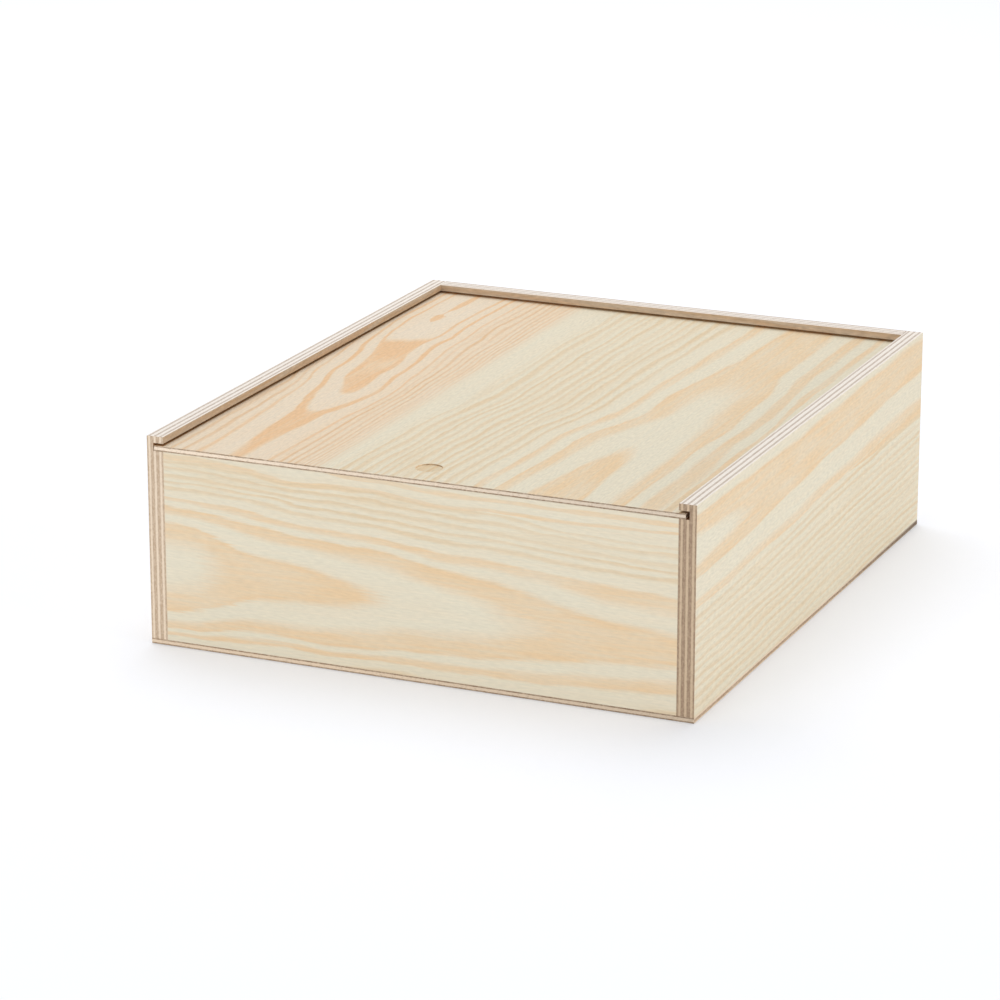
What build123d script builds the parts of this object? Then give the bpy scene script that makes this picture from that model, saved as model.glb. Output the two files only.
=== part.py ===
from build123d import *
import os

# Overall size of the closed box, in millimetres
box_width = 300.0
box_depth = 352.0
box_height = 112.0

# Plywood sheets: four thick walls, a thin bottom and a thin lid
wall = 9.5
bottom_thickness = 3.0
lid_thickness = 3.0

# Groove for the lid, cut along both sides and the back, under a lip
groove_depth = 5.6
groove_height = 4.3
lip_height = 3.6

# Room around the lid in its groove, pushed over to the left
lid_left_gap = 0.35
lid_right_gap = 2.05
lid_back_gap = 0.4

# Round blind finger recess behind the front edge of the lid
recess_diameter = 14.0
recess_depth = 0.6
recess_setback = 20.0

# Sanded arrises of the walls and of the thin sheets
wall_arris = 0.5
sheet_arris = 0.3

# Beech dowels hidden in the corner butt joints
dowel_diameter = 5.0
dowel_length = 17.0
dowel_in_side = 5.5
dowel_edge_distance = 22.0
dowel_chamfer = 0.6
dowel_end_room = 0.5
glue_film = 0.05

# Steel brads driven up through the bottom into the walls
brad_diameter = 1.2
brad_length = 15.0
brad_head_diameter = 2.2
brad_head_thickness = 0.5
brad_head_sink = 0.3
brad_tip_length = 1.5
brad_tip_diameter = 0.3
brad_corner_distance = 30.0
side_brad_count = 4
end_brad_count = 3
brad_clearance = 0.02
brad_end_room = 0.3

# How far every cut runs past the face it opens
overrun = 1.0

# Places worked out from the sizes above
half_width = box_width / 2
half_depth = box_depth / 2
inner_half_width = half_width - wall
inner_half_depth = half_depth - wall
wall_height = box_height - bottom_thickness
groove_top = box_height - lip_height
groove_floor = groove_top - groove_height
front_height = groove_floor - bottom_thickness

lid_left = -inner_half_width - groove_depth + lid_left_gap
lid_right = inner_half_width + groove_depth - lid_right_gap
lid_back = inner_half_depth + groove_depth - lid_back_gap
lid_middle = (lid_left + lid_right) / 2
lid_top = groove_floor + lid_thickness

dowel_socket_radius = dowel_diameter / 2 + glue_film
dowel_in_end = dowel_length - dowel_in_side
dowel_heights = (bottom_thickness + dowel_edge_distance, groove_floor - dowel_edge_distance)
front_joint = -half_depth + wall / 2
back_joint = half_depth - wall / 2

brad_hole_radius = brad_diameter / 2 + brad_clearance
brad_head_top = brad_head_sink + brad_head_thickness
brad_top = brad_head_sink + brad_length
brad_bite = brad_top - bottom_thickness


def evenly_spaced(reach, count):
    """Places from -reach to reach, the same distance apart."""
    return [reach * (2 * i / (count - 1) - 1) for i in range(count)]


side_brads = evenly_spaced(half_depth - brad_corner_distance, side_brad_count)
end_brads = evenly_spaced(half_width - brad_corner_distance, end_brad_count)
left_brad_points = [(-half_width + wall / 2, y) for y in side_brads]
right_brad_points = [(half_width - wall / 2, y) for y in side_brads]
front_brad_points = [(x, front_joint) for x in end_brads]
back_brad_points = [(x, back_joint) for x in end_brads]
brad_points = left_brad_points + right_brad_points + front_brad_points + back_brad_points


def drill_dowel_sockets(face_x, joints, depth):
    """Blind sockets from a glued face at face_x, one pair in each joint, depth signed along X."""
    with BuildSketch(Plane.YZ.offset(face_x)) as sockets:
        with Locations(*[(y, z) for y in joints for z in dowel_heights]):
            Circle(dowel_socket_radius)
    extrude(sockets.sketch, amount=depth, mode=Mode.SUBTRACT)


def drill_brad_holes(points):
    """Holes that the brads make in the lower edge of a wall."""
    with BuildSketch(Plane.XY.offset(bottom_thickness)) as holes:
        with Locations(*points):
            Circle(brad_hole_radius)
    extrude(holes.sketch, amount=brad_bite + brad_end_room, mode=Mode.SUBTRACT)


# Left side: full depth, with the lid groove open at both ends
with BuildPart() as left_side:
    with BuildSketch(Plane.XZ):
        with Locations((-half_width, bottom_thickness)):
            Rectangle(wall, wall_height, align=(Align.MIN, Align.MIN))
        with Locations((-inner_half_width - groove_depth, groove_floor)):
            Rectangle(
                groove_depth + overrun, groove_height,
                align=(Align.MIN, Align.MIN), mode=Mode.SUBTRACT,
            )
    extrude(amount=half_depth, both=True)
    rim_edges = left_side.faces().sort_by(Axis.Z)[-1].edges()
    outer_corners = left_side.edges().filter_by(Axis.Z).group_by(Axis.X)[0]
    fillet(rim_edges + outer_corners, radius=wall_arris)
    drill_dowel_sockets(-inner_half_width, (front_joint, back_joint), -dowel_in_side - dowel_end_room)
    drill_brad_holes(left_brad_points)
left_side.part.label = "left_side"

# Right side: the mirror image of the left one
with BuildPart() as right_side:
    mirror(left_side.part, about=Plane.YZ)
right_side.part.label = "right_side"

# Front panel: butted between the sides, as high as the floor of the groove
with BuildPart() as front_panel:
    with BuildSketch(Plane.XY.offset(bottom_thickness)):
        with Locations((0, front_joint)):
            Rectangle(2 * inner_half_width, wall)
    extrude(amount=front_height)
    for end in (-1, 1):
        drill_dowel_sockets(end * inner_half_width, (front_joint,), -end * (dowel_in_end + dowel_end_room))
    drill_brad_holes(front_brad_points)
front_panel.part.label = "front_panel"

# Back panel: butted between the sides, full height, grooved on its inner face
with BuildPart() as back_panel:
    with BuildSketch(Plane.YZ):
        with Locations((inner_half_depth, bottom_thickness)):
            Rectangle(wall, wall_height, align=(Align.MIN, Align.MIN))
        with Locations((inner_half_depth + groove_depth, groove_floor)):
            Rectangle(
                groove_depth + overrun, groove_height,
                align=(Align.MAX, Align.MIN), mode=Mode.SUBTRACT,
            )
    extrude(amount=inner_half_width, both=True)
    rim_face = back_panel.faces().sort_by(Axis.Z)[-1]
    fillet(rim_face.edges().filter_by(Axis.X), radius=wall_arris)
    for end in (-1, 1):
        drill_dowel_sockets(end * inner_half_width, (back_joint,), -end * (dowel_in_end + dowel_end_room))
    drill_brad_holes(back_brad_points)
back_panel.part.label = "back_panel"

# Bottom panel: one thin sheet under all four walls, with sunk seats for the brad heads
with BuildPart() as bottom_panel:
    with BuildSketch(Plane.XY):
        Rectangle(box_width, box_depth)
    extrude(amount=bottom_thickness)
    fillet(bottom_panel.edges().filter_by(Axis.Z), radius=wall_arris)
    fillet(bottom_panel.faces().sort_by(Axis.Z)[0].edges(), radius=sheet_arris)
    with BuildSketch(Plane.XY):
        with Locations(*brad_points):
            Circle(brad_hole_radius)
    extrude(amount=bottom_thickness, mode=Mode.SUBTRACT)
    with BuildSketch(Plane.XY):
        with Locations(*brad_points):
            Circle(brad_head_diameter / 2 + brad_clearance)
    extrude(amount=brad_head_top, mode=Mode.SUBTRACT)
bottom_panel.part.label = "bottom_panel"

# Lid: lies on the floor of the groove and on the front panel, flush with the front
with BuildPart() as lid:
    with BuildSketch(Plane.XY.offset(groove_floor)):
        with Locations((lid_left, -half_depth)):
            Rectangle(lid_right - lid_left, half_depth + lid_back, align=(Align.MIN, Align.MIN))
    extrude(amount=lid_thickness)
    lid_faces = lid.faces().sort_by(Axis.Z)
    fillet(lid_faces[0].edges() + lid_faces[-1].edges(), radius=sheet_arris)
    with BuildSketch(Plane.XY.offset(lid_top)):
        with Locations((lid_middle, -half_depth + recess_setback)):
            Circle(recess_diameter / 2)
    extrude(amount=-recess_depth, mode=Mode.SUBTRACT)
lid.part.label = "lid"

# Corner dowels: one pair in each of the four butt joints
with BuildPart() as corner_dowels:
    for end in (-1, 1):
        with BuildSketch(Plane.YZ.offset(end * (inner_half_width + dowel_in_side))):
            with Locations(*[(y, z) for y in (front_joint, back_joint) for z in dowel_heights]):
                Circle(dowel_diameter / 2)
        extrude(amount=-end * dowel_length)
    chamfer(corner_dowels.edges().filter_by(GeomType.CIRCLE), length=dowel_chamfer)
corner_dowels.part.label = "corner_dowels"

# Bottom brads: head, shank and tapered tip
with BuildPart() as bottom_brads:
    with Locations(*[(x, y, brad_head_sink) for x, y in brad_points]):
        Cylinder(
            brad_head_diameter / 2, brad_head_thickness,
            align=(Align.CENTER, Align.CENTER, Align.MIN),
        )
        Cylinder(
            brad_diameter / 2, brad_length - brad_tip_length,
            align=(Align.CENTER, Align.CENTER, Align.MIN),
        )
    with Locations(*[(x, y, brad_top - brad_tip_length) for x, y in brad_points]):
        Cone(
            brad_diameter / 2, brad_tip_diameter / 2, brad_tip_length,
            align=(Align.CENTER, Align.CENTER, Align.MIN),
        )
bottom_brads.part.label = "bottom_brads"

os.makedirs("parts", exist_ok=True)
pieces = (
    left_side, right_side, front_panel, back_panel, bottom_panel, lid, corner_dowels, bottom_brads,
)
for piece in pieces:
    export_step(piece.part, f"parts/{piece.part.label}.step")
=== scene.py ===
from dataclasses import dataclass, replace
from math import radians

import bpy
from mathutils import Euler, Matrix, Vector


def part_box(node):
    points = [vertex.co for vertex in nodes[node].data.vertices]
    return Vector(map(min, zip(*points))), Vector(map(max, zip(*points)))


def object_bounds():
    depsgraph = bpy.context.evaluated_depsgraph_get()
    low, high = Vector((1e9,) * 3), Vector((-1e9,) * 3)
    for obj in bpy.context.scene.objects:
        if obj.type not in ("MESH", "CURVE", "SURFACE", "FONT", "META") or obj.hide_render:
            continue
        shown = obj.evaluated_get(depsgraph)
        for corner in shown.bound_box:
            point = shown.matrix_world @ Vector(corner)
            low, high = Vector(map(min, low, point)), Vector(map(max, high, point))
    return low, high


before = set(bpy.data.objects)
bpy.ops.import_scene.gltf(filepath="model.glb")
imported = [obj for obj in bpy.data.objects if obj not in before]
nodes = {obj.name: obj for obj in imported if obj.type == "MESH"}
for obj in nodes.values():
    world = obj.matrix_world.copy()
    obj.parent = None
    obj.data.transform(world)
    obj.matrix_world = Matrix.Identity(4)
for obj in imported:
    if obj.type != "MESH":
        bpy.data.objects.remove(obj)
cad_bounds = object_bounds()

X, Y, Z = 0, 1, 2
MM_PER_M = 1000.0


def in_mm(corners):
    """The two corners of a box, from metres to millimetres."""
    return [Vector(corner) * MM_PER_M for corner in corners]


box_low, box_high = in_mm(cad_bounds)
front_low, front_high = in_mm(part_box("front_panel"))
back_low, _ = in_mm(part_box("back_panel"))


def srgb(red, green, blue):
    """A colour written as screen values from 0 to 255, as the linear colour that shaders take."""
    def linear(value):
        share = value / 255.0
        return share / 12.92 if share <= 0.04045 else ((share + 0.055) / 1.055) ** 2.4
    return (linear(red), linear(green), linear(blue), 1.0)


# Node expressions

# Sockets of a mix node when it blends colours
MIX_SHARE, MIX_FIRST, MIX_SECOND = 0, 6, 7
MIX_RESULT = 2

# A curve of one constant number still needs a span to divide by
SMALLEST_SPAN = 1e-6

# A noise node gives values close to 0.5, so they are spread out from it
NOISE_STRETCH = 3.0

# How far a normal leans towards an axis before it counts a little, and fully, as facing it
EDGE_FACING = (0.5, 0.8)
FACE_FACING = (0.55, 0.8)


class Field:
    """A value that varies over a surface, held as one output socket of a material's node tree."""

    def __init__(self, graph, socket):
        self.graph = graph
        self.socket = socket

    def __add__(self, other):
        return self.graph.math("ADD", self, other)

    def __radd__(self, other):
        return self.graph.math("ADD", other, self)

    def __sub__(self, other):
        return self.graph.math("SUBTRACT", self, other)

    def __rsub__(self, other):
        return self.graph.math("SUBTRACT", other, self)

    def __mul__(self, other):
        return self.graph.math("MULTIPLY", self, other)

    def __truediv__(self, other):
        return self.graph.math("DIVIDE", self, other)

    def __abs__(self):
        return self.graph.math("ABSOLUTE", self)

    def root(self):
        return self.graph.math("SQRT", self)

    def fraction(self):
        return self.graph.math("FRACT", self)

    def above(self, limit):
        return self.graph.math("GREATER_THAN", self, limit)

    def at_least(self, other):
        return self.graph.math("MAXIMUM", self, other)

    def at_most(self, other):
        return self.graph.math("MINIMUM", self, other)

    def rise(self, low, high):
        """0 below low, 1 above high, with a soft step between them."""
        node = self.graph.new("ShaderNodeMapRange")
        node.interpolation_type = "SMOOTHSTEP"
        self.graph.put(node.inputs["Value"], self)
        node.inputs["From Min"].default_value = low
        node.inputs["From Max"].default_value = high
        return Field(self.graph, node.outputs["Result"])


class Graph:
    """Builds one material's node tree from plain expressions. Lengths in it are in millimetres."""

    def __init__(self, name):
        self.material = bpy.data.materials.new(name)
        self.material.use_nodes = True
        self.tree = self.material.node_tree
        self.tree.nodes.clear()
        coordinates = self.new("ShaderNodeTexCoord")
        self.place = [axis * MM_PER_M for axis in self.split(coordinates.outputs["Object"])]
        self.facing = [abs(axis) for axis in self.split(coordinates.outputs["Normal"])]

    def new(self, kind):
        return self.tree.nodes.new(kind)

    def put(self, socket, value):
        """Feeds a socket from a field, or sets it to a constant."""
        if isinstance(value, Field):
            self.tree.links.new(value.socket, socket)
        else:
            socket.default_value = value

    def split(self, vector):
        node = self.new("ShaderNodeSeparateXYZ")
        self.tree.links.new(vector, node.inputs[0])
        return [Field(self, output) for output in node.outputs]

    def math(self, operation, *values):
        node = self.new("ShaderNodeMath")
        node.operation = operation
        for socket, value in zip(node.inputs, values):
            self.put(socket, value)
        return Field(self, node.outputs[0])

    def noise(self, x, y, z, detail=2.0):
        """Smooth noise about 0, mostly within -1 and 1."""
        place = self.new("ShaderNodeCombineXYZ")
        for socket, value in zip(place.inputs, (x, y, z)):
            self.put(socket, value)
        node = self.new("ShaderNodeTexNoise")
        self.tree.links.new(place.outputs[0], node.inputs["Vector"])
        node.inputs["Scale"].default_value = 1.0
        node.inputs["Detail"].default_value = detail
        return Field(self, node.outputs["Fac"]) * NOISE_STRETCH - NOISE_STRETCH / 2.0

    def speckle(self, place, size):
        """Fine noise in patches of about a size, given in millimetres along each axis of a place."""
        x, y, z = (axis / length for axis, length in zip(place, size))
        return self.noise(x, y, z, detail=3.0)

    def faces(self, axis):
        """1 where the surface faces along an axis, less round an arris, 0 beside it."""
        return self.facing[axis].rise(*EDGE_FACING)

    def ramp(self, value, stops, interpolation="LINEAR"):
        """A colour ramp with stops of (value, colour), each value in the units of what drives it."""
        first, last = stops[0][0], stops[-1][0]
        node = self.new("ShaderNodeValToRGB")
        node.color_ramp.interpolation = interpolation
        elements = node.color_ramp.elements
        elements.remove(elements[1])
        for index, (stop, colour) in enumerate(stops):
            share = (stop - first) / (last - first)
            element = elements.new(share) if index else elements[0]
            element.position = share
            element.color = colour
        self.put(node.inputs["Fac"], (value - first) / (last - first))
        return Field(self, node.outputs["Color"])

    def curve(self, value, points, interpolation="LINEAR"):
        """A number that follows points of (value, number)."""
        numbers = [number for _, number in points]
        low = min(numbers)
        span = max(max(numbers) - low, SMALLEST_SPAN)
        stops = []
        for stop, number in points:
            share = (number - low) / span
            stops.append((stop, (share, share, share, 1.0)))
        return self.ramp(value, stops, interpolation) * span + low

    def blend(self, share, first, second):
        """The first colour where a share is 0, the second where it is 1."""
        node = self.new("ShaderNodeMix")
        node.data_type = "RGBA"
        self.put(node.inputs[MIX_SHARE], share)
        self.put(node.inputs[MIX_FIRST], first)
        self.put(node.inputs[MIX_SECOND], second)
        return Field(self, node.outputs[MIX_RESULT])

    def either(self, test, first, second):
        """The first number where a test is 0, the second where it is 1."""
        return test * (second - first) + first

    def tinted(self, colour, tint):
        """A colour multiplied by another."""
        node = self.new("ShaderNodeMix")
        node.data_type = "RGBA"
        node.blend_type = "MULTIPLY"
        node.inputs[MIX_SHARE].default_value = 1.0
        self.put(node.inputs[MIX_FIRST], colour)
        self.put(node.inputs[MIX_SECOND], tint)
        return Field(self, node.outputs[MIX_RESULT])

    def scaled(self, colour, factor):
        """A colour made lighter or darker by a factor that varies over the surface."""
        node = self.new("ShaderNodeVectorMath")
        node.operation = "SCALE"
        self.put(node.inputs[0], colour if isinstance(colour, Field) else colour[:3])
        self.put(node.inputs["Scale"], factor)
        return Field(self, node.outputs[0])

    def finish(self, colour, roughness, height, height_mm, shine):
        """Joins colour, roughness and a fine relief into the material's one surface."""
        surface = self.new("ShaderNodeBsdfPrincipled")
        self.put(surface.inputs["Base Color"], colour)
        self.put(surface.inputs["Roughness"], roughness)
        surface.inputs["Specular IOR Level"].default_value = shine
        bump = self.new("ShaderNodeBump")
        bump.inputs["Distance"].default_value = height_mm / MM_PER_M
        self.put(bump.inputs["Height"], height)
        self.tree.links.new(bump.outputs[0], surface.inputs["Normal"])
        output = self.new("ShaderNodeOutputMaterial")
        self.tree.links.new(surface.outputs[0], output.inputs["Surface"])
        self.surface = surface
        return self.material


# Veneer figure

# Pine from its palest to its darkest, and the fine lines of its latewood
CREAM_PINE = ((0.0, srgb(228, 220, 198)), (0.5, srgb(229, 213, 186)), (1.0, srgb(230, 202, 163)))
ROSY_PINE = ((0.0, srgb(231, 216, 194)), (0.5, srgb(231, 206, 174)), (1.0, srgb(230, 191, 148)))
CREAM_LATEWOOD = srgb(223, 201, 166)
ROSY_LATEWOOD = srgb(223, 187, 145)

# Length and width of the patches in each layer of the grain, in millimetres
WAVER_SIZE = (55.0, 16.0)
FEATHER_SIZE = (40.0, 0.9)
FIBRE_SIZE = (11.0, 0.9)
VEIL_SIZE = (70.0, 8.0)
CLOUD_SIZE = (40.0, 10.0)
STREAK_SIZE = (60.0, 2.2)
PORE_SIZE = (5.0, 0.9)
FLECK_SIZE = (4.0, 1.1)

# How far clouds, streaks and pores change the dark bands, the depth of colour and its brightness
CLOUD_IN_BANDS = 0.2
STREAK_IN_BANDS = 0.25
CLOUD_DEPTH = 0.06
STREAK_DEPTH = 0.1
PORE_DEPTH = 0.06
STREAK_LIGHT = 0.03
PORE_LIGHT = 0.08

# Fine lines: where in its spacing a line is darkest, how far lines stray, how far they differ in strength,
# and over how many millimetres their first and last ones fade
LINE_PEAK = (0.65, 0.74)
LINE_JITTER = 0.35
LINE_JITTER_WAVE = 11.0
LINE_STRENGTH = 0.75
LINE_VARIETY = 0.6
LINE_VARIETY_SIZE = (4.0, 150.0)
LINE_EDGE = 1.5

# A faint stain between the fine lines
VEIL_RANGE = (-0.1, 0.9)
VEIL_STRENGTH = 0.45

# Spindles fade between these shares of their half width, and their tips between these half widths
SPINDLE_EDGE = (0.5, 1.1)
SPINDLE_TIP = (0.02, 0.4)
THINNEST_SPINDLE = 0.01

# How far the flames and the fibres blur their edges, as shares of ring size and of waver
INNER_BLUR = 0.03
OUTER_BLUR = 0.04
FIBRE_SHARE = 0.2

# Further out than any corner of a face, so that fine lines fill it
BEYOND_ALL_FACES = 400.0


@dataclass(frozen=True)
class Figure:
    """How the growth rings of one leaf of flat-cut pine show. Lengths are in millimetres, along the grain
    and across it. The flames are parabolas about an axis, so ring sizes are squared radii."""
    seed: float
    axis: tuple  # points of (along, across)
    taper: tuple  # points of (along, ring size at the axis)
    bands: tuple  # points of (ring size, darkness)
    lines: tuple  # first radius, last radius and spacing of the fine lines beside the flames
    band_share: tuple = ((0.0, 1.0), (1.0, 1.0))  # points of (across, how strongly the bands show)
    spread: tuple = (1.0, 1.0)  # how tightly the rings lie before the axis and after it
    skew: float = 0.0  # how much tighter they lie after it, for each millimetre along
    reach: tuple = (30.0, 30.0)  # how far from the axis the flames bend the rings, before it and after it
    hold: float = 400.0  # how far from the axis its own bends are felt
    waver: float = 2.8  # how far the rings stray across the grain
    feather: float = 8.0  # how far their tips fray along it
    squeeze: float = 0.0  # how much closer the fine lines lie, for each millimetre further out
    line_share: tuple = ((0.0, 0.85), (1.0, 0.85))  # points of (across, how strongly the fine lines show)
    line_start: float = 0.15  # how far through its spacing a fine line starts to darken
    fade: float = 3.0  # over how much of the radius the fine lines die away
    flames: tuple = ()  # each (smallest ring, largest ring, slant, points of (along, darkness))
    spindles: tuple = ()  # each a run of points of (along, across, half width)
    spindle_dark: float = 0.9  # how dark the spindles are
    tone: tuple = ((0.0, 0.0), (1.0, 0.0))  # points of (across, darkness added)
    grit: float = 0.0  # how strongly short dark and pale flecks show
    palette: tuple = CREAM_PINE
    latewood: tuple = CREAM_LATEWOOD


def grain(g, along, across, size, seed, detail=2.0):
    """Noise drawn out along the grain, in patches of about a length and width."""
    length, width = size
    return g.noise(along / length, across / width, seed, detail)


def spindle(g, along, across, points):
    """A dark lens or strip that lies along the grain."""
    middle = g.curve(along, [(start, place) for start, place, _ in points])
    half_width = g.curve(along, [(start, half) for start, _, half in points], "EASE")
    out = abs(across - middle) / half_width.at_least(THINNEST_SPINDLE)
    return (1.0 - out.rise(*SPINDLE_EDGE)) * half_width.rise(*SPINDLE_TIP)


def veneer(g, along, across, figure):
    """Flat-cut pine, as a plane cut through a tapering trunk shows it: flames along an axis, then bands,
    then fine lines at the sides, all a little ragged along the fibres."""
    seed = figure.seed
    feathered = along + grain(g, along, across, FEATHER_SIZE, seed + 5.0) * figure.feather
    waver = grain(g, along, across, WAVER_SIZE, seed) * figure.waver
    fibre = grain(g, along, across, FIBRE_SIZE, seed + 7.0) * figure.waver * FIBRE_SHARE
    base = sum(place for _, place in figure.axis) / len(figure.axis)
    distance = (across - base) / figure.hold
    bend = (g.curve(along, figure.axis, "EASE") - base) / (1.0 + distance * distance * distance * distance)
    offset = across + waver + fibre - base - bend
    after = offset.above(0.0)
    tight_before, tight_after = figure.spread
    sided = offset * g.either(after, tight_before, along * figure.skew + tight_after)
    near = offset / g.either(after, *figure.reach)
    rings = sided * sided + g.curve(feathered, figure.taper) / (1.0 + near * near * near * near)
    dark = g.curve(rings, figure.bands) * g.curve(across, figure.band_share)
    for smallest, largest, slant, darkness in figure.flames:
        inside = rings.rise(smallest * (1.0 - INNER_BLUR), smallest * (1.0 + INNER_BLUR))
        outside = rings.rise(largest * (1.0 - OUTER_BLUR), largest * (1.0 + OUTER_BLUR))
        dark = dark.at_least(inside * (1.0 - outside) * g.curve(feathered + offset * slant, darkness))
    for points in figure.spindles:
        dark = dark.at_least(spindle(g, feathered, across + waver, points) * figure.spindle_dark)

    first, last, spacing = figure.lines
    darkest_from, darkest_to = LINE_PEAK
    radius = rings.root()
    beyond = radius - first
    jitter = g.noise(radius / LINE_JITTER_WAVE, seed, 0.0, detail=1.0) * spacing * LINE_JITTER
    beat = ((beyond * (1.0 + beyond * figure.squeeze) + jitter) / spacing).fraction()
    pulse = beat.rise(figure.line_start, darkest_from) * (1.0 - beat.rise(darkest_to, 1.0))
    variety = grain(g, radius, along, LINE_VARIETY_SIZE, seed + 3.0, detail=1.0)
    strength = LINE_STRENGTH + variety * LINE_VARIETY
    started = radius.rise(first - LINE_EDGE, first + LINE_EDGE)
    ended = radius.rise(last - figure.fade, last + 2.0 * LINE_EDGE)
    veil = grain(g, along, across, VEIL_SIZE, seed + 13.0).rise(*VEIL_RANGE) * VEIL_STRENGTH
    drawn = (pulse * strength).at_least(veil) * started * (1.0 - ended)
    lines = drawn * g.curve(across, figure.line_share)

    cloud = grain(g, along, across, CLOUD_SIZE, seed + 3.0)
    streak = grain(g, along, across, STREAK_SIZE, seed + 9.0, detail=3.0)
    pore = grain(g, along, across, PORE_SIZE, seed + 11.0, detail=3.0)
    fleck = grain(g, along, across, FLECK_SIZE, seed + 15.0)
    uneven = dark * (1.0 + cloud * CLOUD_IN_BANDS + streak * STREAK_IN_BANDS)
    depth = uneven + g.curve(across, figure.tone)
    depth = depth + cloud * CLOUD_DEPTH + streak * STREAK_DEPTH + pore * PORE_DEPTH
    colour = g.blend(lines, g.ramp(depth, figure.palette), figure.latewood)
    return g.scaled(colour, 1.0 + streak * STREAK_LIGHT + pore * PORE_LIGHT + fleck * figure.grit)


FRONT_FIGURE = Figure(
    seed=1.0,
    axis=((0.0, 59.0), (281.0, 69.5)),
    taper=(
        (0.0, 0.0), (18.0, 45.0), (30.0, 200.0), (42.0, 310.0), (55.0, 368.0), (80.0, 392.0), (104.0, 446.0),
        (120.0, 480.0), (160.0, 590.0), (181.0, 645.0), (201.0, 705.0), (241.0, 803.0), (281.0, 850.0),
    ),
    bands=(
        (0.0, 0.0), (50.0, 0.05), (120.0, 0.35), (270.0, 0.8), (400.0, 0.75), (455.0, 0.95), (500.0, 0.1),
        (640.0, 0.0), (750.0, 0.75), (850.0, 0.8), (890.0, 0.95), (940.0, 0.1), (1010.0, 0.05), (1075.0, 0.7),
        (1180.0, 0.85), (1230.0, 0.1), (1300.0, 0.1),
    ),
    lines=(37.6, 56.0, 3.6),
    spread=(1.0, 0.87),
    skew=0.00096,
    reach=(27.0, 27.0),
    line_share=((0.0, 1.0), (1.0, 1.0)),
    spindles=(
        (
            (0.0, 2.0, 2.2), (42.0, 3.6, 1.9), (74.0, 6.7, 1.9), (106.0, 7.6, 1.9), (138.0, 8.9, 1.6),
            (170.0, 10.4, 1.3), (202.0, 10.1, 1.3), (281.0, 9.0, 1.1),
        ),
        (
            (85.0, 0.0, 0.0), (106.0, 0.6, 1.6), (138.0, 1.8, 2.2), (170.0, 3.7, 1.6), (202.0, 4.0, 1.4),
            (281.0, 3.8, 1.7),
        ),
    ),
    spindle_dark=0.72,
)

RIGHT_FIGURE = Figure(
    seed=2.0,
    axis=((0.0, 24.0), (352.0, 14.5)),
    taper=((0.0, 0.0), (65.0, 45.0), (140.0, 96.0), (240.0, 128.0), (352.0, 138.0)),
    bands=(
        (0.0, 0.0), (30.0, 0.05), (60.0, 0.75), (150.0, 0.75), (185.0, 0.95), (215.0, 0.1), (540.0, 0.05),
        (660.0, 0.6), (840.0, 0.75), (910.0, 0.1), (960.0, 0.1),
    ),
    lines=(31.0, 120.0, 4.5),
    spread=(0.72, 1.0),
    reach=(24.0, 24.0),
    waver=1.7,
    grit=0.09,
    spindles=(((215.0, 47.0, 0.0), (290.0, 45.8, 2.6), (352.0, 44.6, 4.4)),),
)

LID_RIGHT_FIGURE = Figure(
    seed=3.0,
    axis=((0.0, 227.2), (71.0, 226.5), (104.0, 225.5), (188.0, 226.0), (254.0, 219.0), (338.0, 215.5)),
    taper=(
        (0.0, 850.0), (38.0, 806.0), (71.0, 785.0), (104.0, 725.0), (124.0, 650.0), (154.0, 560.0),
        (188.0, 505.0), (221.0, 385.0), (254.0, 250.0), (288.0, 180.0), (338.0, 85.0),
    ),
    bands=(
        (0.0, 0.85), (170.0, 0.8), (215.0, 0.95), (265.0, 0.05), (550.0, 0.03), (690.0, 0.75), (890.0, 0.75),
        (945.0, 0.95), (1010.0, 0.1), (1270.0, 0.05), (1410.0, 0.65), (1610.0, 0.85), (1700.0, 0.1),
        (2000.0, 0.1),
    ),
    lines=(45.5, 108.7, 5.1),
    band_share=((0.0, 1.0), (254.0, 1.0), (257.0, 0.0), (281.0, 0.0)),
    spread=(0.92, 0.82),
    reach=(55.0, 55.0),
    waver=2.4,
    line_share=((0.0, 1.0), (1.0, 1.0)),
    grit=0.09,
    spindles=(
        (
            (0.0, 257.0, 4.7), (100.0, 257.3, 4.6), (130.0, 259.5, 3.8), (160.0, 262.0, 4.0),
            (220.0, 263.5, 4.6), (280.0, 265.5, 6.7), (345.0, 265.5, 6.9),
        ),
        (
            (0.0, 269.0, 2.8), (130.0, 270.0, 3.1), (160.0, 271.5, 2.2), (205.0, 273.5, 1.0),
            (250.0, 274.0, 1.9), (345.0, 274.5, 2.5),
        ),
    ),
    spindle_dark=0.74,
)

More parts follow.
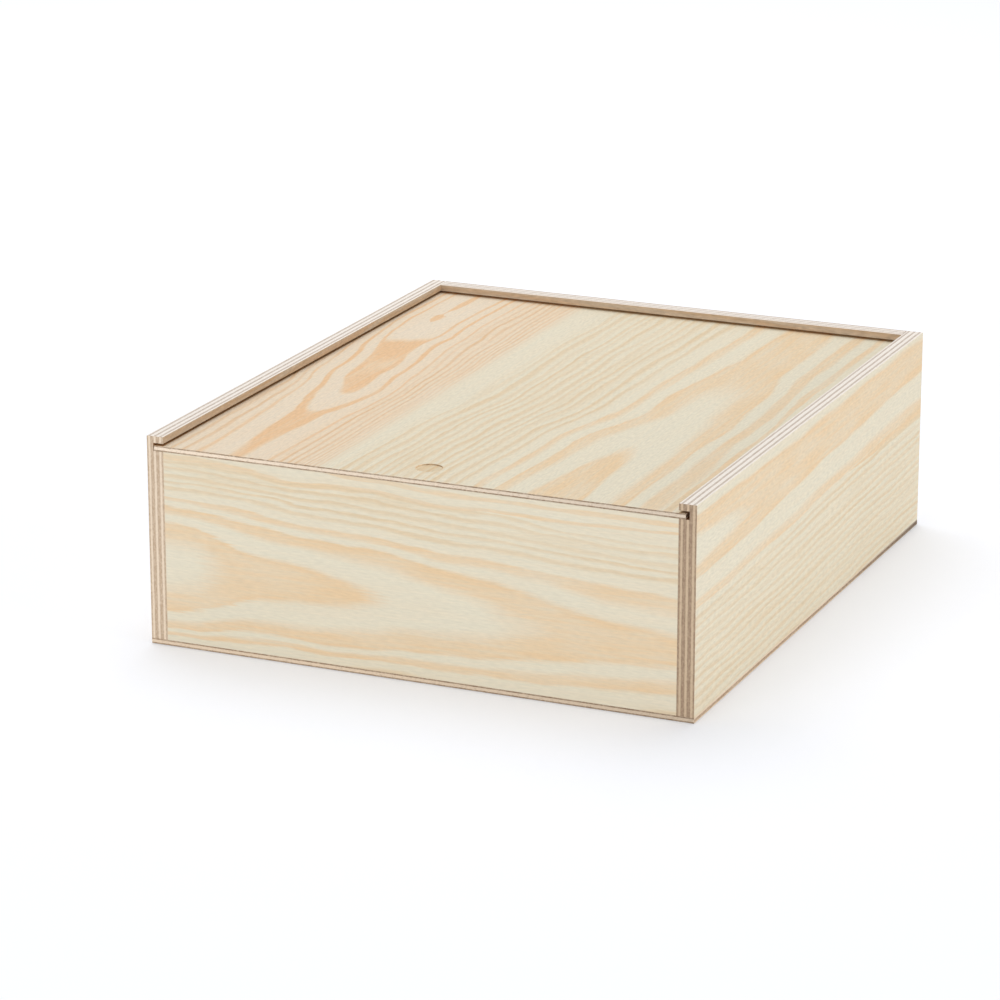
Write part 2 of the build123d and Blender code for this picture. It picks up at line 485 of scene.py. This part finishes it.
LID_LEFT_FIGURE = Figure(
    seed=4.0,
    axis=(
        (0.0, 24.0), (62.0, 22.5), (100.0, 25.0), (175.0, 34.5), (215.0, 41.0), (275.0, 40.5), (345.0, 41.5),
    ),
    taper=(
        (0.0, 90.0), (92.0, 100.0), (112.0, 200.0), (137.0, 260.0), (164.0, 265.0), (192.0, 300.0),
        (216.0, 345.0), (240.0, 440.0), (260.0, 540.0), (280.0, 565.0), (301.0, 588.0), (328.0, 612.0),
        (345.0, 612.0),
    ),
    bands=(
        (0.0, 0.0), (296.0, 0.1), (318.0, 0.9), (352.0, 0.9), (376.0, 0.1), (520.0, 0.1), (552.0, 0.9),
        (612.0, 0.95), (640.0, 0.1), (885.0, 0.1), (915.0, 0.7), (945.0, 0.7), (975.0, 0.1), (1010.0, 0.1),
    ),
    lines=(31.5, 95.0, 4.4),
    hold=38.0,
    waver=1.6,
    feather=2.5,
    squeeze=0.021,
    line_share=((0.0, 0.8), (24.0, 0.8), (42.0, 1.0), (62.0, 1.0), (88.0, 0.75)),
    line_start=0.35,
    fade=45.0,
    tone=((40.0, 0.0), (60.0, 0.1), (75.0, 0.12), (92.0, 0.07)),
    grit=0.09,
    flames=(
        (
            150.0, 345.0, 0.45,
            ((103.0, 0.0), (114.0, 1.0), (140.0, 0.95), (160.0, 0.6), (195.0, 0.95), (230.0, 1.0)),
        ),
    ),
    spindles=(
        (
            (0.0, 23.6, 2.2), (22.0, 23.4, 3.2), (36.0, 23.2, 2.2), (44.0, 22.8, 0.5), (49.0, 22.4, 0.7),
            (54.0, 22.2, 4.0), (61.0, 22.2, 3.6), (69.0, 22.4, 0.0),
        ),
    ),
    palette=ROSY_PINE,
    latewood=ROSY_LATEWOOD,
)


def hidden(figure, seed):
    """Another leaf of the same log, for a face that the front view hides, with fine lines to its edges."""
    first, _, spacing = figure.lines
    return replace(figure, seed=seed, lines=(first, BEYOND_ALL_FACES, spacing))


# Plywood

# Thickness of each ply, as a share of the sheet
SEVEN_PLIES = (0.11, 0.12, 0.2, 0.13, 0.2, 0.13, 0.11)
THREE_PLIES = (0.25, 0.5, 0.25)

# How long the waves of a glue line are, in millimetres, and how far it strays, as a share of the sheet
GLUE_WAVE = 16.0
GLUE_STRAY = 0.014

# Brightest that the painted shade on cut ends may make a pale ply, so that it never throws back more light
# than it takes in
LIGHT_PLY_LIMIT = 1.08

# Patches in sawn edges and sanded faces: along the grain, over it and through the sheet, in millimetres
SAWN_PORES = (1.3, 1.3, 0.8)
SAWN_PATCHES = (7.0, 7.0, 0.5)
SANDED_FIBRE = (10.0, 0.5, 0.5)
BARE_CORE_SIZE = (9.0, 0.7)
BARE_CORE_VARIETY = 0.06

# How dark plies are where they are sawn through their grain, and what patches and pores add
END_GRAIN_DARKNESS = 0.8
END_GRAIN_PATCHES = 0.25
PATCH_DARKNESS = 0.1
PORE_DARKNESS = 0.4

# Sanded wood is matt, and more so where it is sawn through its grain
WOOD_ROUGHNESS = 0.62
FIBRE_ROUGHNESS = 0.04
END_GRAIN_ROUGHNESS = 0.15
FIBRE_RELIEF = 0.5
RELIEF_MM = 0.05
WOOD_SHINE = 0.2

# The lid's groove starts level with the top of the front panel, and a lip closes it above
GROOVE_HEIGHT = 4.3
GROOVE_MARGIN = 0.1
groove_floor = front_high[Z]
groove_top = groove_floor + GROOVE_HEIGHT
# Patches in the painted shade on the lip, in millimetres along each axis, and how far their brightness varies
LIP_SPECKLE = (4.0, 4.0, 1.2)
LIP_VARIETY = 0.18

# The recess lies further in from the lid's edges than this, its floor between these shares of the sheet
RECESS_MARGIN = 1.0
RECESS_DEPTHS = (0.5, 0.97)

# Where the two leaves on the lid meet, how soft and wavy the seam is, and where their figure starts
LEAF_SEAM = (-58.0, -47.0)
LEAF_SEAM_WAVE = 60.0
LEAF_SEAM_SEED = 31.0
LID_FIGURE_SHIFT = 4.5

# Colours multiplied with the wood's own: painted shade on the walls' lips, in the grooves, on the lid under
# the lips and on the recess wall, and the browner wood of the recess floor
# Painted shade on the walls' lips above the lid
LIP_SHADE = (0.65, 0.56, 0.52, 1.0)
# Painted shade inside the grooves: deep in the sides, light in the back
SIDE_GROOVE_SHADE = (0.42, 0.24, 0.12, 1.0)
BACK_GROOVE_SHADE = (0.85, 0.72, 0.55, 1.0)
# Painted shadow on the lid's top under the left, right and back lips
LEFT_LIP_SHADOW = (0.74, 0.53, 0.32, 1.0)
RIGHT_LIP_SHADOW = (0.62, 0.49, 0.34, 1.0)
BACK_LIP_SHADOW = (0.95, 0.79, 0.61, 1.0)
# Painted shade on the recess wall
RECESS_WALL_SHADE = (0.98, 0.9, 0.76, 1.0)
RECESS_FLOOR_TINT = (0.95, 0.87, 0.77, 1.0)


def ply_grain(g, depth, shares):
    """1 in the plies whose grain runs with the face, 0 in the cross plies."""
    stops = []
    level = 0.0
    for index, share in enumerate(shares):
        amount = 1.0 - index % 2
        stops.append((level, (amount, amount, amount, 1.0)))
        level += share
    stops.append((1.0, (1.0, 1.0, 1.0, 1.0)))
    return g.ramp(depth, stops, "CONSTANT")


@dataclass(frozen=True)
class Edges:
    """Colours of the plies where an edge is cut, along their grain and through it: round the ends, on the
    top rim, and of the core where a groove lays it bare. The ends also take painted shade, as points of
    (place, brightness) along X at the front and along Y at the right."""
    end_light: tuple
    end_dark: tuple
    rim_light: tuple = srgb(247, 239, 230)
    rim_dark: tuple = srgb(194, 177, 162)
    core: tuple = srgb(230, 208, 176)
    front_shade: tuple = ((0.0, 1.0), (1.0, 1.0))
    right_shade: tuple = ((0.0, 1.0), (1.0, 1.0))


def plywood(
    node, thickness_axis, grain_axis, plies, low_face, high_face, edges, seed,
    groove_shade=None, recessed=False,
):
    """One panel of plywood: a veneer on each face, and the plies where its edges are cut."""
    g = Graph(node + "_ply")
    low, high = in_mm(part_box(node))
    cross_axis = X + Y + Z - thickness_axis - grain_axis
    along = g.place[grain_axis]
    over = g.place[cross_axis]
    level = g.place[thickness_axis] - low[thickness_axis]
    depth = level / (high[thickness_axis] - low[thickness_axis])
    inside_sheet = (along, over, level)

    glue_line = depth + g.noise(along / GLUE_WAVE, over / GLUE_WAVE, seed) * GLUE_STRAY
    with_face = ply_grain(g, glue_line, plies)
    cut_along = g.faces(grain_axis)
    end_grain = with_face * cut_along + (1.0 - with_face) * g.faces(cross_axis)
    pores = g.speckle(inside_sheet, SAWN_PORES)
    patches = g.speckle(inside_sheet, SAWN_PATCHES)
    through = end_grain * (END_GRAIN_DARKNESS + patches * END_GRAIN_PATCHES)
    sawn = through + pores * PORE_DARKNESS + patches * PATCH_DARKNESS
    rim = g.blend(sawn, edges.rim_light, edges.rim_dark)
    # Painted shade on the cut ends: brightness following X on the front ends and following Y on the right
    # ends
    front_shade = g.either(g.place[Y].above(0.0), g.curve(g.place[X], edges.front_shade), 1.0)
    right_shade = g.either(g.place[X].above(0.0), 1.0, g.curve(g.place[Y], edges.right_shade))
    tone = g.either(g.faces(X), front_shade, right_shade)
    light_plies = g.scaled(edges.end_light, tone.at_most(LIGHT_PLY_LIMIT))
    ends = g.blend(sawn, light_plies, g.scaled(edges.end_dark, tone))
    edge = g.blend(g.faces(Z), ends, rim)
    # Painted shade on the recess wall: the cut faces inside the lid's outer edges
    if recessed:
        inside = 1.0
        for axis in (grain_axis, cross_axis):
            past_start = g.place[axis].above(low[axis] + RECESS_MARGIN)
            past_end = g.place[axis].above(high[axis] - RECESS_MARGIN)
            inside = (past_start - past_end) * inside
        edge = g.blend(inside, edge, g.tinted(edge, RECESS_WALL_SHADE))

    skin = abs(depth - 0.5).above(0.5 - plies[0])
    core_variety = grain(g, over, along, BARE_CORE_SIZE, seed + 3.0) * BARE_CORE_VARIETY
    bare = g.scaled(edges.core, 1.0 + core_variety)
    face = g.blend(skin, bare, g.blend(depth.above(0.5), low_face(g), high_face(g)))
    if recessed:
        deepest, shallowest = RECESS_DEPTHS
        sunk = depth.above(deepest) - depth.above(shallowest)
        face = g.blend(sunk, face, g.tinted(face, RECESS_FLOOR_TINT))
    on_face = g.facing[thickness_axis].rise(*FACE_FACING)
    colour = g.blend(on_face, edge, face)
    # Painted shade on the cut faces inside the lid's groove
    if groove_shade:
        over_floor = g.place[Z].above(groove_floor - GROOVE_MARGIN)
        within = over_floor * (1.0 - g.place[Z].above(groove_top + GROOVE_MARGIN))
        cut = within * (1.0 - skin * on_face) * (1.0 - cut_along)
        colour = g.blend(cut, colour, g.tinted(colour, groove_shade))

    fibre = g.speckle(inside_sheet, SANDED_FIBRE)
    height = fibre * FIBRE_RELIEF + end_grain * (pores - 1.0)
    roughness = WOOD_ROUGHNESS + fibre * FIBRE_ROUGHNESS + end_grain * END_GRAIN_ROUGHNESS
    return g.finish(colour, roughness, height, RELIEF_MM, WOOD_SHINE)


def face_of(figure, along_axis, along_start, along_sign, across_axis, across_start, across_sign):
    """A face's veneer, with its distances measured from a start, forwards or backwards along an axis."""
    def paint(g):
        along = (g.place[along_axis] - along_start) * along_sign
        across = (g.place[across_axis] - across_start) * across_sign
        return veneer(g, along, across, figure)
    return paint


def with_lip_shade(face):
    """A wall's inside face, with painted shade, patchy in brightness, on the lip over the lid's groove."""
    def paint(g):
        colour = face(g)
        # The lip above the groove, darkened by painted shade
        brightness = 1.0 + g.speckle(g.place, LIP_SPECKLE) * LIP_VARIETY
        lip_shade = g.scaled(g.tinted(colour, LIP_SHADE), brightness)
        return g.blend(g.place[Z].above(groove_top), colour, lip_shade)
    return paint


def lid_top(g):
    """The lid's top: two leaves of veneer, side by side, with brown painted shadow on its edges under the
    walls' lips.
    """
    figure_start = back_low[Y] + LID_FIGURE_SHIFT
    left = face_of(LID_LEFT_FIGURE, Y, figure_start, -1.0, X, front_low[X], 1.0)(g)
    right = face_of(LID_RIGHT_FIGURE, Y, figure_start, -1.0, X, front_low[X], 1.0)(g)
    seam = g.place[X] + g.noise(g.place[Y] / LEAF_SEAM_WAVE, 0.0, LEAF_SEAM_SEED)
    colour = g.blend(seam.rise(*LEAF_SEAM), left, right)
    # Painted shadow on the lid's left, right and back edges, where the walls' lips cover them
    lip_shadow_strips = (
        (1.0 - g.place[X].above(front_low[X]), LEFT_LIP_SHADOW),
        (g.place[X].above(front_high[X]), RIGHT_LIP_SHADOW),
        (g.place[Y].above(back_low[Y]), BACK_LIP_SHADOW),
    )
    for strip, tint in lip_shadow_strips:
        colour = g.blend(strip, colour, g.tinted(colour, tint))
    return colour


# The veneer on every face, with the figure, then where its along and its across start
front_face = face_of(FRONT_FIGURE, X, front_low[X], 1.0, Z, front_high[Z], -1.0)
front_inside = face_of(hidden(FRONT_FIGURE, seed=11.0), X, front_high[X], -1.0, Z, front_low[Z], 1.0)
back_face = face_of(hidden(FRONT_FIGURE, seed=12.0), X, front_high[X], -1.0, Z, box_high[Z], -1.0)
back_inside = with_lip_shade(face_of(hidden(RIGHT_FIGURE, seed=13.0), X, front_low[X], 1.0, Z, front_low[Z], 1.0))
right_face = face_of(RIGHT_FIGURE, Y, box_low[Y], 1.0, Z, box_high[Z], -1.0)
right_inside = with_lip_shade(face_of(hidden(FRONT_FIGURE, seed=14.0), Y, box_low[Y], 1.0, Z, front_low[Z], 1.0))
left_face = face_of(hidden(RIGHT_FIGURE, seed=15.0), Y, box_high[Y], -1.0, Z, box_low[Z], 1.0)
left_inside = with_lip_shade(face_of(hidden(FRONT_FIGURE, seed=16.0), Y, box_high[Y], -1.0, Z, box_high[Z], -1.0))
lid_under = face_of(hidden(LID_RIGHT_FIGURE, seed=17.0), Y, box_low[Y], 1.0, X, front_high[X], -1.0)
bottom_inside = face_of(hidden(LID_RIGHT_FIGURE, seed=18.0), Y, box_high[Y], -1.0, X, front_high[X], -1.0)
bottom_under = face_of(hidden(LID_RIGHT_FIGURE, seed=19.0), Y, box_low[Y], 1.0, X, front_low[X], 1.0)

PALE_EDGES = Edges(end_light=srgb(236, 217, 193), end_dark=srgb(192, 167, 141))
# The right wall's cut edges: darker than the others, painted shade
SHADED_RIGHT_EDGES = Edges(end_light=srgb(206, 182, 153), end_dark=srgb(156, 132, 110))
# The lid's front end lighter at the left and darker to the right, painted shade
LID_EDGES = Edges(
    end_light=srgb(238, 220, 198),
    end_dark=srgb(152, 127, 102),
    front_shade=((-146.0, 1.12), (-60.0, 1.02), (0.0, 0.98), (60.0, 0.92), (100.0, 0.86), (146.0, 0.85)),
)
# The bottom's front end darker to the right and its right end darker towards the back, painted shade
BOTTOM_EDGES = Edges(
    end_light=srgb(226, 205, 180),
    end_dark=srgb(147, 122, 99),
    front_shade=((-150.0, 1.2), (-50.0, 1.08), (50.0, 0.98), (150.0, 0.84)),
    right_shade=((-176.0, 1.45), (-60.0, 1.4), (0.0, 1.2), (60.0, 1.0), (120.0, 0.8), (176.0, 0.48)),
)

# Each panel: node, axes of its thickness and grain, plies, low and high face, edges, seed, painted shade in
# its groove
panels = (
    ("left_side", X, Y, SEVEN_PLIES, left_face, left_inside, PALE_EDGES, 21.0, SIDE_GROOVE_SHADE),
    ("right_side", X, Y, SEVEN_PLIES, right_inside, right_face, SHADED_RIGHT_EDGES, 22.0, SIDE_GROOVE_SHADE),
    ("front_panel", Y, X, SEVEN_PLIES, front_face, front_inside, PALE_EDGES, 23.0),
    ("back_panel", Y, X, SEVEN_PLIES, back_inside, back_face, PALE_EDGES, 24.0, BACK_GROOVE_SHADE),
    ("bottom_panel", Z, Y, THREE_PLIES, bottom_under, bottom_inside, BOTTOM_EDGES, 25.0),
)
materials = {panel[0]: plywood(*panel) for panel in panels}
materials["lid"] = plywood(
    "lid", Z, Y, THREE_PLIES, lid_under, lid_top, LID_EDGES, 26.0, recessed=True,
)


# Hidden fasteners

BEECH_FLECK = (2.0, 0.3, 0.3)
STEEL_PATCH = (0.8, 0.8, 2.5)


def beech():
    """Turned beech for the hidden dowels, with short dark flecks along the grain."""
    g = Graph("dowel_beech")
    fleck = g.speckle(g.place, BEECH_FLECK)
    colour = g.blend(fleck.rise(0.1, 0.9), srgb(214, 178, 140), srgb(176, 134, 98))
    return g.finish(colour, roughness=0.6 + fleck * 0.05, height=fleck, height_mm=0.03, shine=0.3)


def wire_steel():
    """Bright drawn wire, slightly dulled in patches."""
    g = Graph("brad_steel")
    patch = g.speckle(g.place, STEEL_PATCH)
    colour = g.blend(patch.rise(-0.5, 0.8), srgb(188, 188, 186), srgb(150, 149, 146))
    material = g.finish(colour, roughness=0.35 + patch * 0.08, height=patch, height_mm=0.01, shine=0.5)
    g.surface.inputs["Metallic"].default_value = 1.0
    return material


materials["corner_dowels"] = beech()
materials["bottom_brads"] = wire_steel()
for name, material in materials.items():
    mesh = nodes[name].data
    mesh.materials.clear()
    mesh.materials.append(material)


# Stage, in metres: a pale floor that shows a faint shadow, soft light all round

FLOOR_HALF_SIZE = 12.0
FLOOR_DROP = 0.0002
FLOOR_COLOUR = (0.78, 0.8, 0.85, 1.0)
FLOOR_GLOW = 0.26
WORLD_STRENGTH = 0.46
WHITE = (1.0, 1.0, 1.0, 1.0)


def seen_directly(tree):
    """1 for rays that show the background itself: camera, mirror and glass rays."""
    path = tree.nodes.new("ShaderNodeLightPath")
    total = path.outputs["Is Camera Ray"]
    for name in ("Is Glossy Ray", "Is Transmission Ray"):
        node = tree.nodes.new("ShaderNodeMath")
        node.operation = "MAXIMUM"
        tree.links.new(total, node.inputs[0])
        tree.links.new(path.outputs[name], node.inputs[1])
        total = node.outputs[0]
    return total


def floor_material():
    """Pale matt floor, with a little glow of its own where it is seen directly."""
    material = bpy.data.materials.new("studio_floor")
    material.use_nodes = True
    tree = material.node_tree
    tree.nodes.clear()
    plain = tree.nodes.new("ShaderNodeBsdfDiffuse")
    plain.inputs["Color"].default_value = FLOOR_COLOUR
    glow = tree.nodes.new("ShaderNodeEmission")
    glow.inputs["Strength"].default_value = FLOOR_GLOW
    shown = tree.nodes.new("ShaderNodeAddShader")
    tree.links.new(plain.outputs[0], shown.inputs[0])
    tree.links.new(glow.outputs[0], shown.inputs[1])
    mix = tree.nodes.new("ShaderNodeMixShader")
    tree.links.new(seen_directly(tree), mix.inputs[0])
    tree.links.new(plain.outputs[0], mix.inputs[1])
    tree.links.new(shown.outputs[0], mix.inputs[2])
    output = tree.nodes.new("ShaderNodeOutputMaterial")
    tree.links.new(mix.outputs[0], output.inputs["Surface"])
    return material


def add_floor():
    """A flat square under the box, a hair below it."""
    mesh = bpy.data.meshes.new("floor")
    signs = ((-1, -1), (1, -1), (1, 1), (-1, 1))
    corners = [(x * FLOOR_HALF_SIZE, y * FLOOR_HALF_SIZE, -FLOOR_DROP) for x, y in signs]
    mesh.from_pydata(corners, [], [(0, 1, 2, 3)])
    mesh.materials.append(floor_material())
    floor = bpy.data.objects.new("floor", mesh)
    bpy.context.scene.collection.objects.link(floor)


def add_world():
    """Even light from all round, and plain white where the world itself is seen."""
    world = bpy.data.worlds.new("studio")
    world.use_nodes = True
    tree = world.node_tree
    tree.nodes.clear()
    light = tree.nodes.new("ShaderNodeBackground")
    light.inputs["Color"].default_value = WHITE
    light.inputs["Strength"].default_value = WORLD_STRENGTH
    white = tree.nodes.new("ShaderNodeBackground")
    white.inputs["Color"].default_value = WHITE
    mix = tree.nodes.new("ShaderNodeMixShader")
    tree.links.new(seen_directly(tree), mix.inputs[0])
    tree.links.new(light.outputs[0], mix.inputs[1])
    tree.links.new(white.outputs[0], mix.inputs[2])
    output = tree.nodes.new("ShaderNodeOutputWorld")
    tree.links.new(mix.outputs[0], output.inputs["Surface"])
    bpy.context.scene.world = world


def add_softbox(name, place, aim, width, height, watts):
    """A soft rectangular light at a place, turned towards a point."""
    lamp = bpy.data.lights.new(name, "AREA")
    lamp.shape = "RECTANGLE"
    lamp.size = width
    lamp.size_y = height
    lamp.energy = watts
    holder = bpy.data.objects.new(name, lamp)
    holder.location = place
    holder.rotation_euler = (Vector(aim) - Vector(place)).to_track_quat("-Z", "Y").to_euler()
    bpy.context.scene.collection.objects.link(holder)


# Camera, fitted to the corners of the box in the photo

CAMERA_AIM = Vector((-0.0201, -0.0234, 0.05))
CAMERA_DISTANCE = 2.1751
CAMERA_PITCH = radians(17.303)
CAMERA_YAW = radians(23.554)
CAMERA_LENS = 146.59
SENSOR_WIDTH = 36.0
CLIP_END = 60.0


def add_camera():
    """A long lens, looking down on the box from its front right."""
    data = bpy.data.cameras.new("camera")
    data.lens = CAMERA_LENS
    data.sensor_width = SENSOR_WIDTH
    data.clip_end = CLIP_END
    camera = bpy.data.objects.new("camera", data)
    camera.rotation_euler = Euler((radians(90.0) - CAMERA_PITCH, 0.0, CAMERA_YAW))
    backwards = camera.rotation_euler.to_matrix() @ Vector((0.0, 0.0, 1.0))
    camera.location = CAMERA_AIM + backwards * CAMERA_DISTANCE
    bpy.context.scene.collection.objects.link(camera)
    bpy.context.scene.camera = camera


add_floor()
add_world()
add_softbox(
    "key_back_left", place=(-0.65, 0.9, 2.35), aim=(0.0, 0.0, 0.05),
    width=2.6, height=2.6, watts=40.2,
)
add_softbox(
    "fill_front", place=(-0.5, -2.7, 0.4), aim=(0.0, -0.1, 0.05),
    width=1.6, height=0.6, watts=26.3,
)
add_softbox(
    "fill_right", place=(2.7, -0.3, 0.4), aim=(0.1, 0.0, 0.05),
    width=1.6, height=0.6, watts=29.3,
)
add_camera()
bpy.context.scene.view_settings.view_transform = "Standard"
